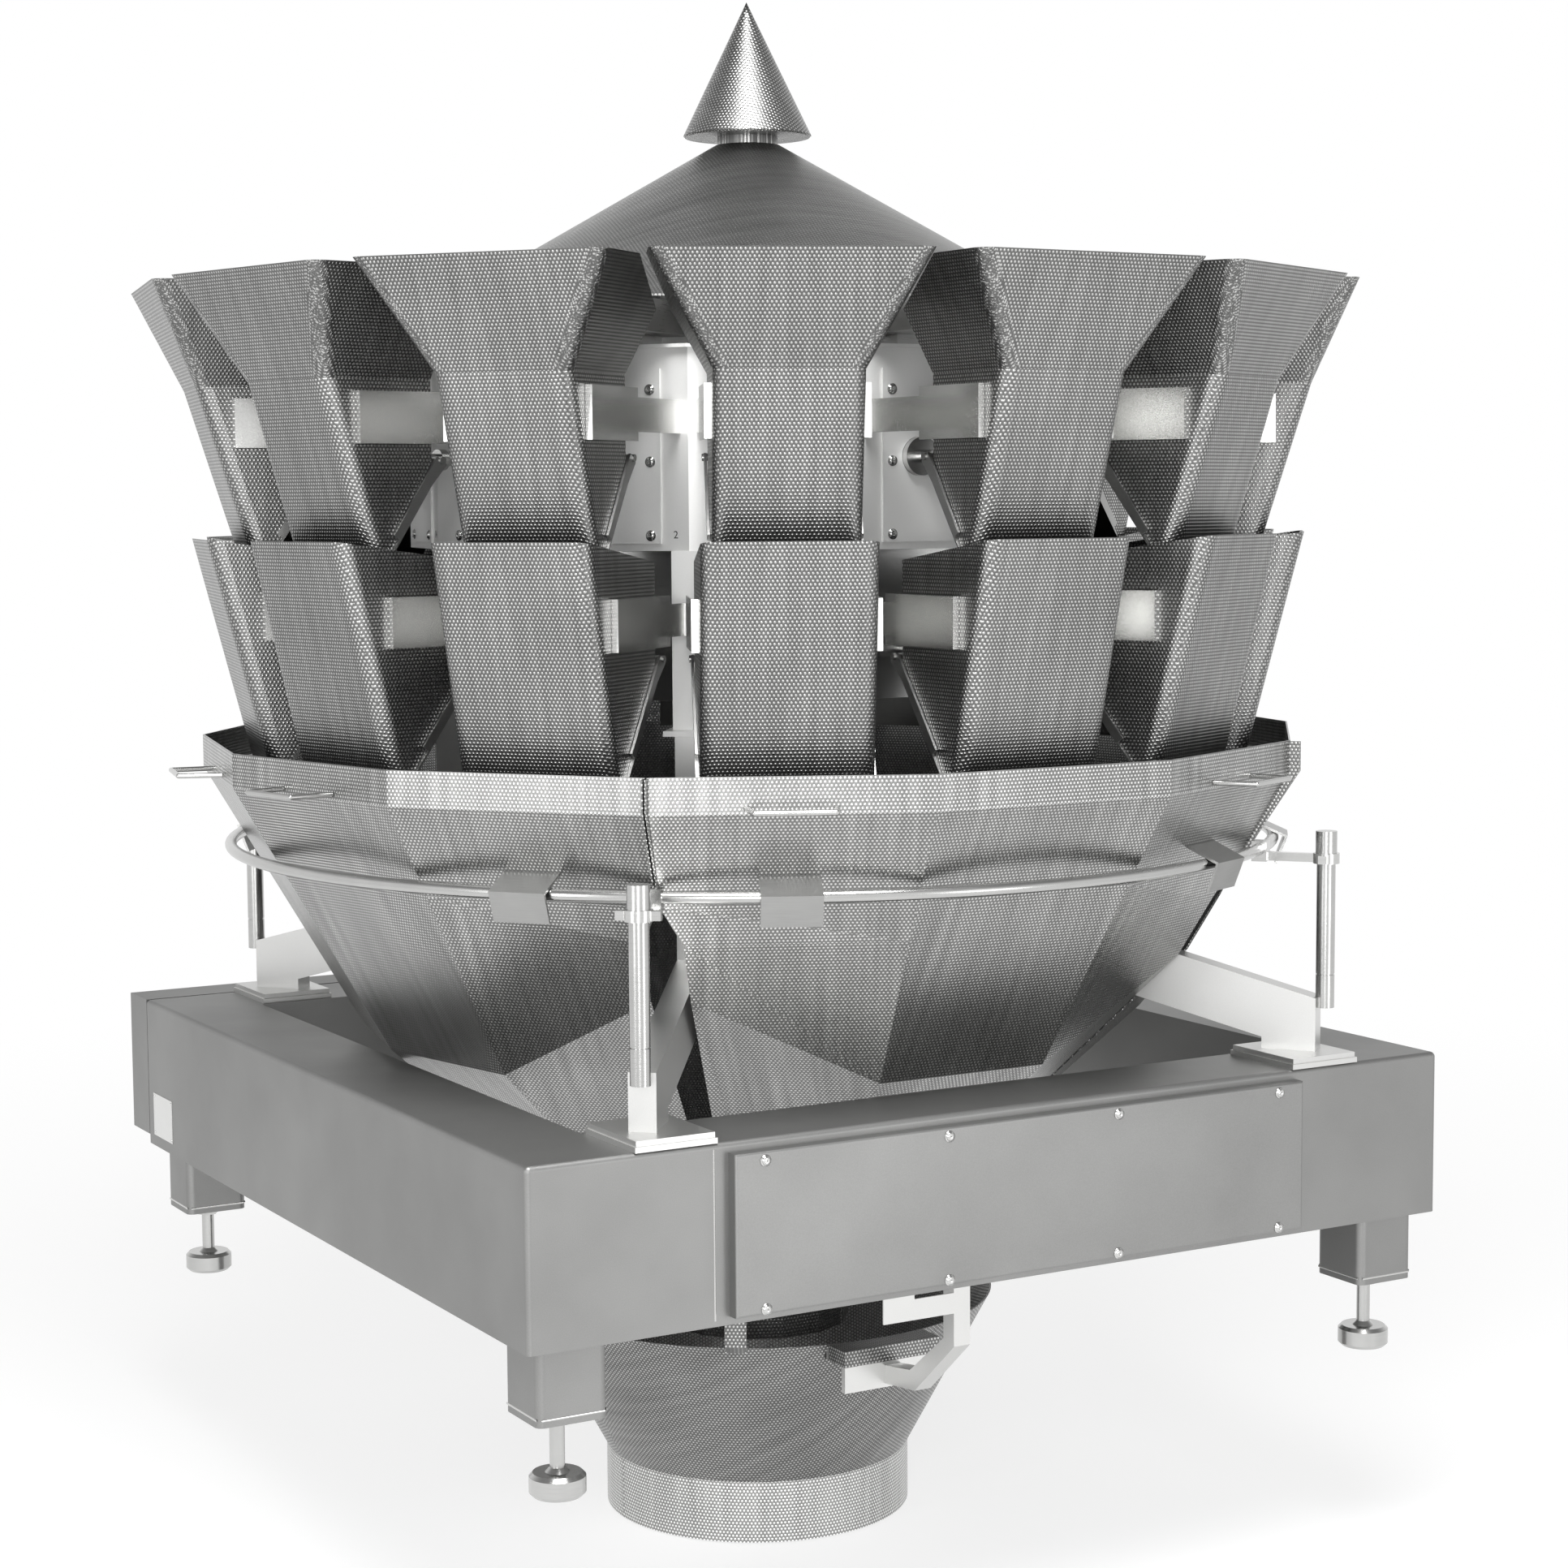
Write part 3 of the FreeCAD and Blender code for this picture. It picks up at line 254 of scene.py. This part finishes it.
# %% Flat coordinates on a cone or a tube
def rolled_sheet(g, half_angle, radius=None):
    """Unrolled fan of a cone with this half angle, or the unrolled wall of a tube."""
    x, y, z = g.split(g.place())
    azimuth = g.math("ARCTAN2", y, x)
    if radius is not None:
        return g.math("MULTIPLY", azimuth, radius), z
    slant = g.math("DIVIDE", g.length(x, y), math.sin(half_angle))
    fan = g.math("MULTIPLY", azimuth, math.sin(half_angle))
    return (g.math("MULTIPLY", slant, g.math("SINE", fan)),
            g.math("MULTIPLY", slant, g.math("COSINE", fan)))


# %% [markdown]
# Under the bumps the sheet is cold-rolled steel: a faint cloudiness a hand wide, and a few
# upright smears from wiping. The cloudiness changes the brightness by up to a fifth and the
# smears by up to a third, which keeps a large plain sheet from looking painted.

# %% Dimpled steel
def dimpled_steel(name, sheet, painted_shade_ground=0.15, painted_lit_top=0.60, gloss=0.25, relief=1.0,
                  painted_highlight=None):
    """Steel with bumps over the sheet; the last argument may brighten a part of it as a painted
    highlight.
    """
    g = Graph(name)
    u, v = sheet(g)
    height = domes(g, u, v)
    cloud = g.noise(g.place(), 9.0, 3.0)
    smear = g.noise(g.join(u, g.math("MULTIPLY", v, 0.05)), 90.0, 3.0)
    wear = g.math("MULTIPLY", g.spread(cloud, 0.8, 1.2), g.spread(smear, 0.65, 1.35))
    # colour runs from painted shade on the ground between the bumps to a painted highlight on
    # their tops, times the cloudiness and smears
    tone = g.math("MULTIPLY", g.spread(height, painted_shade_ground, painted_lit_top), wear)
    # painted highlight: the colour is multiplied up over a part of the sheet
    if painted_highlight is not None:
        tone = g.math("MULTIPLY", tone, painted_highlight(g))
    rough = g.math("ADD", g.spread(height, gloss + 0.12, gloss), g.spread(cloud, -0.04, 0.04))
    grain = g.bump(g.noise(g.place(), 2500.0), 0.00004, 0.4)
    return g.finish(g.grey(tone), rough, g.bump(height, BUMP_H, relief, grain))


def middle_of(low, high):
    return (low.z + high.z) / 2


# The chute panels are the same sheet as the hoppers, given a lighter colour as a painted
# highlight for the light they catch.
steel_panel_painted_lighter = dimpled_steel("dimpled_panel_painted_lighter", panel_sheet, 0.20, 0.72, 0.20, 0.45)
steel_feed = dimpled_steel("dimpled_feed_hopper",
                           lambda g: hopper_sheet(g, middle_of(feed_low, feed_high)))
steel_weigh = dimpled_steel("dimpled_weigh_hopper",
                            lambda g: hopper_sheet(g, middle_of(weigh_low, weigh_high)))
print("dimpled finishes:", steel_panel_painted_lighter.name, steel_feed.name, steel_weigh.name)

# %% [markdown]
# The funnel under the machine is a cone that ends in a short tube, welded together. Its
# bumps follow each sheet, so the finish changes from the unrolled cone to the unrolled tube
# at the weld. What stands outside the cone's rim or above it is flat, and takes the flat
# directions of a panel.

# %% Funnel, dispersion cone and top cone
SPOUT_R = 193 * MM
SPOUT_TOP = 76 * MM
FUNNEL_R = 300 * MM
FUNNEL_TOP = 274 * MM


def funnel_sheet(g):
    half_angle = math.atan2(FUNNEL_R - SPOUT_R, FUNNEL_TOP - SPOUT_TOP)
    u1, v1 = rolled_sheet(g, half_angle)
    u2, v2 = rolled_sheet(g, 0.0, SPOUT_R)
    x, y, z = g.split(g.place())
    tube = g.math("LESS_THAN", z, SPOUT_TOP)
    outside = g.math("GREATER_THAN", g.length(x, y), FUNNEL_R + 0.5 * MM)
    above = g.math("GREATER_THAN", z, FUNNEL_TOP + 0.2 * MM)
    flat = g.math("MAXIMUM", outside, above)
    u3, v3 = panel_sheet(g)
    return (g.mix(flat, g.mix(tube, u1, u2), u3), g.mix(flat, g.mix(tube, v1, v2), v3))


def cone_sheet(low, high):
    half_angle = math.atan2((high.x - low.x) / 2, high.z - low.z)
    return lambda g: rolled_sheet(g, half_angle)


def painted_tube_highlight(g):
    """The short tube at the bottom is painted brighter than the cone above it, a painted
    highlight.
    """
    _, _, z = g.split(g.place())
    return g.spread(g.math("LESS_THAN", z, SPOUT_TOP), 1.0, 2.1)


# the spout tube gets a painted highlight, 2.1 times the colour of the cone
steel_funnel = dimpled_steel("dimpled_funnel", funnel_sheet, 0.15, 0.60, painted_highlight=painted_tube_highlight)
steel_cone = dimpled_steel("dimpled_cone", cone_sheet(cone_low, cone_high), 0.24, 0.60)
steel_spike = dimpled_steel("dimpled_spike", cone_sheet(spike_low, spike_high), 0.15, 0.60, 0.22)

# %% [markdown]
# ## Plain steel
#
# The frame, the arms and the housing are plain stainless. After welding they are blasted with
# glass beads, which leaves an even satin skin with a very fine sparkle and no direction.
# Bars, nuts and pins are turned or drawn, so they are brighter and show fine rings or lines.

# %% Blasted, brushed and bright steel
def blasted_steel(name, base, gloss, cloudy=0.05, depth=0.00005, metal=1.0):
    g = Graph(name)
    g.shader.inputs["Metallic"].default_value = metal
    here = g.place()
    cloud = g.noise(here, 6.0, 4.0)
    sparkle = g.noise(here, 900.0, 1.0)
    tone = g.math("ADD", g.spread(cloud, base - cloudy, base + cloudy),
                  g.spread(sparkle, -0.03, 0.03))
    rough = g.math("ADD", g.spread(cloud, gloss + 0.04, gloss - 0.04),
                   g.spread(sparkle, -0.03, 0.03))
    return g.finish(g.grey(tone), rough, g.bump(sparkle, depth, 0.5))


def brushed_steel(name, base, gloss, stretch=(1.0, 1.0, 60.0)):
    """Fine lines; the stretch says along which axis they are short."""
    g = Graph(name)
    here = g.place()
    lines = g.noise(g.vector("MULTIPLY", here, stretch), 40.0, 3.0)
    cloud = g.noise(here, 14.0, 3.0)
    tone = g.math("ADD", g.spread(lines, base - 0.05, base + 0.05),
                  g.spread(cloud, -0.05, 0.05))
    rough = g.math("ADD", g.spread(lines, gloss - 0.04, gloss + 0.06),
                   g.spread(cloud, -0.04, 0.04))
    return g.finish(g.grey(tone), rough, g.bump(lines, 0.00003, 0.6))


steel_frame = blasted_steel("blasted_frame", 0.28, 0.48)
steel_cover = blasted_steel("blasted_cover", 0.29, 0.46)
steel_arm = blasted_steel("blasted_arm", 0.66, 0.36)
steel_housing = blasted_steel("blasted_housing", 0.86, 0.40, metal=0.25)
steel_drum = brushed_steel("brushed_drum", 0.70, 0.22)
steel_hanger = blasted_steel("blasted_hanger", 0.70, 0.26)
steel_gate = brushed_steel("brushed_gate", 0.36, 0.30)
steel_pan = brushed_steel("brushed_pan", 0.50, 0.28)
steel_bar = brushed_steel("bright_bar", 0.50, 0.22)
steel_nut = brushed_steel("bright_nut", 0.58, 0.18)

# %% [markdown]
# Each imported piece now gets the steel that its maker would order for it. Its own mesh stays
# as it is, and only the material in its slot changes. The chutes and hoppers are families of
# like pieces, so the start of a name is enough to find their sheet.

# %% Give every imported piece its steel
finishes = {
    "arm_plates": steel_arm, "back_box": steel_frame, "base_frame": steel_frame,
    "body_arms": steel_arm, "body_posts": steel_housing, "chute_handles": steel_bar,
    "chute_hooks": steel_gate, "discharge_funnel": steel_funnel,
    "dispersion_cone": steel_cone, "drive_covers": steel_housing,
    "feed_actuators": steel_bar, "feed_gates": steel_gate, "feed_hangers": steel_hanger,
    "feeder_pans": steel_pan, "front_cover": steel_cover, "funnel_brackets": steel_arm,
    "legs": steel_frame, "levelling_feet": steel_bar, "lower_drum": steel_drum,
    "ring_clamps": steel_nut, "ring_posts": steel_bar, "support_ring": steel_bar,
    "top_cone": steel_spike, "upper_housing": steel_housing, "weigh_gates": steel_gate,
    "weigh_hangers": steel_hanger, "weigh_pushers": steel_bar,
}
families = {"chute_": steel_panel_painted_lighter, "feed_hoppers": steel_feed, "weigh_hoppers": steel_weigh}
for name, piece in nodes.items():
    steel = finishes.get(name)
    if steel is None:
        steel = next(made for start, made in families.items() if name.startswith(start))
    piece.data.materials.clear()
    piece.data.materials.append(steel)
print("finishes given:", len(nodes))

# %% [markdown]
# ## Hardware
#
# Small parts are turned or pressed, so each is made here the same way: a profile that is
# swept round an axis. The profile lists radius and height, and a step with a sharp edge is
# written as two points close together.

# %% Turned parts
def turned(bm, profile, centre, axis, count=20):
    """Sweeps (radius, height) pairs round the axis in this many steps."""
    turn = axis.to_track_quat("Z", "Y").to_matrix()
    rings = []
    for radius, height in profile:
        ring = []
        for k in range(count):
            a = 2 * math.pi * k / count
            ring.append(bm.verts.new(centre + turn @ Vector((radius * math.cos(a),
                                                             radius * math.sin(a), height))))
        rings.append(ring)
    for low, high in zip(rings, rings[1:]):
        for k in range(count):
            face = bm.faces.new((low[k], low[(k + 1) % count], high[(k + 1) % count], high[k]))
            face.smooth = True
    bm.faces.new(rings[-1]).smooth = False
    bm.faces.new(list(reversed(rings[0]))).smooth = False


def piece_from(bm, name, material, body="root"):
    mesh = bpy.data.meshes.new(name)
    bm.to_mesh(mesh)
    bm.free()
    mesh.materials.append(material)
    made = bpy.data.objects.new(name, mesh)
    scene.collection.objects.link(made)
    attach(made, body)
    return made


def pan_head(size):
    """Low domed head with a rounded rim and a socket sunk into its top."""
    r, h = size / 2, size * 0.32
    return [(r * 1.35, 0.0), (r * 1.35, 0.10 * size), (r * 1.02, 0.11 * size), (r, 0.16 * size),
            (r * 0.86, h * 0.85), (r * 0.55, h), (r * 0.34, h), (r * 0.32, h * 0.97),
            (r * 0.30, h * 0.55)]


# %% [markdown]
# The front cover is held by eight screws along its long edges, and each cover on the drive
# housing by six in two upright rows. Every screw has a washer under its head, because the
# covers come off for every deep clean and bare heads would chew the sheet.

# %% Screws of the covers
FRONT_SCREW_X = (-332, -104, 121, 349)
FRONT_SCREW_RISE = (6, 164)     # above the lower edge of the front cover
HOUSING_SCREW_T = (-49, 49)     # to the sides of a housing cover's middle
HOUSING_SCREW_Z = (1233, 1315, 1395)
COVER_FACE = 414.4 * MM         # from the axis to a housing cover's outside
FRONT_SCREW, HOUSING_SCREW = 9.5 * MM, 9.0 * MM
screws = bmesh.new()
for x in FRONT_SCREW_X:
    for rise in FRONT_SCREW_RISE:
        place = Vector((x * MM, cover_low.y, cover_low.z + rise * MM))
        turned(screws, pan_head(FRONT_SCREW), place, Vector((0, -1, 0)))
for head in range(HEADS):
    out = head_point(head, 1, 0, 0)
    for t in HOUSING_SCREW_T:
        for z in HOUSING_SCREW_Z:
            place = head_point(head, COVER_FACE, t * MM, z * MM)
            turned(screws, pan_head(HOUSING_SCREW), place, out)
cover_screws = piece_from(screws, "cover_screws", steel_nut)
print("screw faces:", len(cover_screws.data.polygons))

# %% [markdown]
# ## Head numbers
#
# A fitter who looks for head nine wants to find it without counting. A small plain number is
# printed low on each face of the drive housing.

# %% Numbers on the housing
dark = Graph("printed_ink", metal=False)
ink = dark.finish(dark.grey(dark.spread(dark.noise(dark.place(), 300.0), 0.02, 0.05)), 0.6,
                  dark.bump(dark.noise(dark.place(), 2000.0), 0.00002, 0.3))
NUMBER_FACE = BODY_FACE + 0.15 * MM
NUMBER_T, NUMBER_Z, NUMBER_SIZE = 78 * MM, 1230 * MM, 12 * MM
FIRST_HEAD = 11                 # steps from the front head to head number one
for head in range(HEADS):
    words = bpy.data.curves.new("head_number_%02d" % (head + 1), "FONT")
    words.body = str((head - FIRST_HEAD) % HEADS + 1)
    words.size = NUMBER_SIZE
    words.extrude = 0.05 * MM
    words.align_x = "CENTER"
    words.materials.append(ink)
    number = bpy.data.objects.new(words.name, words)
    scene.collection.objects.link(number)
    turn = Matrix.Rotation(head * STEP, 4, "Z") @ Matrix.Rotation(math.pi / 2, 4, "X")
    spot = head_point(head, NUMBER_FACE, NUMBER_T, NUMBER_Z)
    number.matrix_world = Matrix.Translation(spot) @ turn
    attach(number, "root")
print("numbers:", HEADS)

# %% [markdown]
# ## Welds and the bare plate
#
# The beams and legs are welded from folded sheet. A ground weld still shows as a low bead:
# one runs round each leg where its end plate closes the tube, and one runs up the front beam
# beside its cover. A bead is a thin strip with a rounded back, so a flattened seven-sided bar
# along each line is enough. A small bare plate is riveted to the left beam near the back.

# %% Weld beads
BEAD_BACK = ((-1, -0.3), (-1, 0.1), (-0.5, 0.8), (0, 1), (0.5, 0.8), (1, 0.1), (1, -0.3))


def bead(bm, start, end, out, width, rise):
    """Low ridge from start to end, standing out of the sheet by rise."""
    along = (end - start).normalized()
    side = along.cross(out)
    ends = []
    for at in (start, end):
        ends.append([bm.verts.new(at + side * (width / 2 * a) + out * (rise * b))
                     for a, b in BEAD_BACK])
    count = len(BEAD_BACK)
    for k in range(count):
        after = (k + 1) % count
        bm.faces.new((ends[0][k], ends[0][after], ends[1][after], ends[1][k]))
    bm.faces.new(list(reversed(ends[0])))
    bm.faces.new(ends[1])


LEG_SIDE = 80 * MM
BEAD_WIDE = 2.4 * MM
BEAD_RISE = 0.5 * MM
leg_middle = leg_high.x - LEG_SIDE / 2
welds = bmesh.new()
for sx in (-1, 1):
    for sy in (-1, 1):
        centre = Vector((sx * leg_middle, sy * leg_middle, leg_low.z + 8 * MM))
        for quarter in range(4):
            out = Vector((math.cos(quarter * math.pi / 2), math.sin(quarter * math.pi / 2), 0))
            side = Vector((-out.y, out.x, 0)) * (LEG_SIDE / 2 - 4 * MM)
            face = centre + out * LEG_SIDE / 2
            bead(welds, face - side, face + side, out, BEAD_WIDE, BEAD_RISE)
seam_x = cover_low.x - 17 * MM
bead(welds, Vector((seam_x, frame_low.y, frame_low.z + 6 * MM)),
     Vector((seam_x, frame_low.y, frame_high.z - 6 * MM)), Vector((0, -1, 0)), 2 * MM, 0.4 * MM)
weld_beads = piece_from(welds, "weld_beads", steel_nut)
print("weld faces:", len(weld_beads.data.polygons))

# %% Bare plate with four rivets
PLATE_Y = (0.500, 0.575)
PLATE_Z = (0.430, 0.487)
PLATE_T = 0.8 * MM
plate = bmesh.new()
bmesh.ops.create_cube(plate, size=1.0)
for vert in plate.verts:
    vert.co.x = frame_low.x - PLATE_T / 2 + vert.co.x * PLATE_T
    vert.co.y = (PLATE_Y[0] + PLATE_Y[1]) / 2 + vert.co.y * (PLATE_Y[1] - PLATE_Y[0])
    vert.co.z = (PLATE_Z[0] + PLATE_Z[1]) / 2 + vert.co.z * (PLATE_Z[1] - PLATE_Z[0])
bmesh.ops.bevel(plate, geom=plate.edges[:], offset=0.25 * MM, segments=2, affect="EDGES")
for y in (PLATE_Y[0] + 4 * MM, PLATE_Y[1] - 4 * MM):
    for z in (PLATE_Z[0] + 4 * MM, PLATE_Z[1] - 4 * MM):
        turned(plate, [(1.6 * MM, 0), (1.6 * MM, 0.3 * MM), (1.1 * MM, 0.8 * MM),
                       (0.4 * MM, 1.0 * MM)],
               Vector((frame_low.x - PLATE_T, y, z)), Vector((-1, 0, 0)), 12)
bare_plate = piece_from(plate, "bare_plate", steel_drum)
print("plate: %.0f x %.0f mm" % ((PLATE_Y[1] - PLATE_Y[0]) / MM, (PLATE_Z[1] - PLATE_Z[0]) / MM))

# %% [markdown]
# ## Floor, light and camera
#
# The machine is shown on a plain white ground. A real machine of this kind hangs in an
# opening of a platform, so the floor here lies at the level of the spout's rim.

# %% Floor and surroundings
floor_mesh = bmesh.new()
bmesh.ops.create_grid(floor_mesh, x_segments=1, y_segments=1, size=30.0)
mesh = bpy.data.meshes.new("floor")
floor_mesh.to_mesh(mesh)
floor_mesh.free()
floor = bpy.data.objects.new("floor", mesh)
floor.location = (0, 0, -0.002)
scene.collection.objects.link(floor)
pale = Graph("pale_floor", metal=False)
path = pale.node("ShaderNodeLightPath").outputs
shown = pale.math("MAXIMUM", pale.math("MAXIMUM", path["Is Camera Ray"], path["Is Glossy Ray"]),
                  path["Is Transmission Ray"])
x, y, _ = pale.split(pale.place())
far = pale.range(pale.length(x, y), 1.2, 4.0, 0.0, 1.0)
tone = pale.spread(far, 0.34, 0.0)
pale.feed(pale.shader.inputs["Base Color"], pale.join(tone, tone, tone))
pale.shader.inputs["Roughness"].default_value = 1.0
pale.shader.inputs["Specular IOR Level"].default_value = 0.0
pale.shader.inputs["Emission Color"].default_value = (1, 1, 1, 1)
glow = pale.math("MULTIPLY", shown, pale.spread(far, 0.72, 1.0))
pale.feed(pale.shader.inputs["Emission Strength"], glow)
mesh.materials.append(pale.material)

# %% [markdown]
# The room is white round the machine and greyer overhead, as a studio with a dark ceiling is.
# Metal only shows what is around it, so without that fall-off it would look flat.

# %% World
ROOM_LOW, ROOM_HIGH = 0.25, 0.80        # where the room turns from white to grey, upward
world = bpy.data.worlds.new("studio")
scene.world = world
world.use_nodes = True
tree = world.node_tree
sky = tree.nodes["Background"]
toward = tree.nodes.new("ShaderNodeTexCoord")
parts = tree.nodes.new("ShaderNodeSeparateXYZ")
tree.links.new(toward.outputs["Generated"], parts.inputs[0])
height = tree.nodes.new("ShaderNodeMapRange")
height.interpolation_type = "SMOOTHSTEP"
for socket, value in (("From Min", ROOM_LOW), ("From Max", ROOM_HIGH),
                      ("To Min", 1.0), ("To Max", 0.30)):
    height.inputs[socket].default_value = value
tree.links.new(parts.outputs["Z"], height.inputs["Value"])
tree.links.new(height.outputs[0], sky.inputs["Strength"])
sky.inputs["Color"].default_value = (1, 1, 1, 1)

# %% [markdown]
# Sheet steel is lit with large soft lamps, because a small one would leave a hard white spot
# on every fold. One hangs in front and above, for the tops and the spike. Three weak ones
# stand at the right, at the left and beside the camera, and lift the sides.

# %% Soft lamps
def soft_lamp(name, place, size, watts, at=(0, 0, 1.0)):
    data = bpy.data.lights.new(name, "AREA")
    data.shape = "RECTANGLE"
    data.size, data.size_y = size
    data.energy = watts
    lamp = bpy.data.objects.new(name, data)
    lamp.location = place
    aim = Vector(at) - Vector(place)
    lamp.rotation_euler = aim.to_track_quat("-Z", "Y").to_euler()
    scene.collection.objects.link(lamp)
    return lamp


soft_lamp("overhead_front", (-0.7, -1.5, 3.3), (1.7, 1.4), 110)
soft_lamp("front_right", (0.9, -3.4, 0.6), (0.9, 1.2), 12, (0, 0, 0.6))
soft_lamp("left", (-2.9, -1.1, 1.3), (0.8, 1.6), 16, (0, 0, 1.1))
soft_lamp("beside_camera", (-2.1, -3.5, 1.3), (0.8, 1.8), 38, (0, 0, 1.1))

# %% [markdown]
# The camera stands at chest height off the machine's left front corner. A long lens keeps the
# upright lines nearly upright. Its three axes are worked out from three angles and written
# into its matrix, so that no aim constraint is needed.

# %% Camera
YAW, PITCH, ROLL = 0.52108, -0.09474, -0.00666
EYE = Vector((-1.8557, -3.3131, 1.2759))
look = Vector((math.sin(YAW) * math.cos(PITCH), math.cos(YAW) * math.cos(PITCH),
               math.sin(PITCH)))
right = Vector((math.cos(YAW), -math.sin(YAW), 0))
up = right.cross(look)
side_axis = math.cos(ROLL) * right + math.sin(ROLL) * up
up_axis = math.cos(ROLL) * up - math.sin(ROLL) * right
lens = bpy.data.cameras.new("camera")
lens.lens = 69.5
lens.sensor_width = 36
camera = bpy.data.objects.new("camera", lens)
camera.matrix_world = Matrix(((side_axis.x, up_axis.x, -look.x, EYE.x),
                              (side_axis.y, up_axis.y, -look.y, EYE.y),
                              (side_axis.z, up_axis.z, -look.z, EYE.z), (0, 0, 0, 1)))
scene.collection.objects.link(camera)
scene.camera = camera
print("camera: %.0f mm lens, %.2f m from the axis" % (lens.lens, EYE.xy.length))

# %% [markdown]
# Last, colours are shown through the Standard view transform. Screws and welds are small,
# so they hardly change the size of the machine.

# %% View transform
scene.view_settings.view_transform = "Standard"
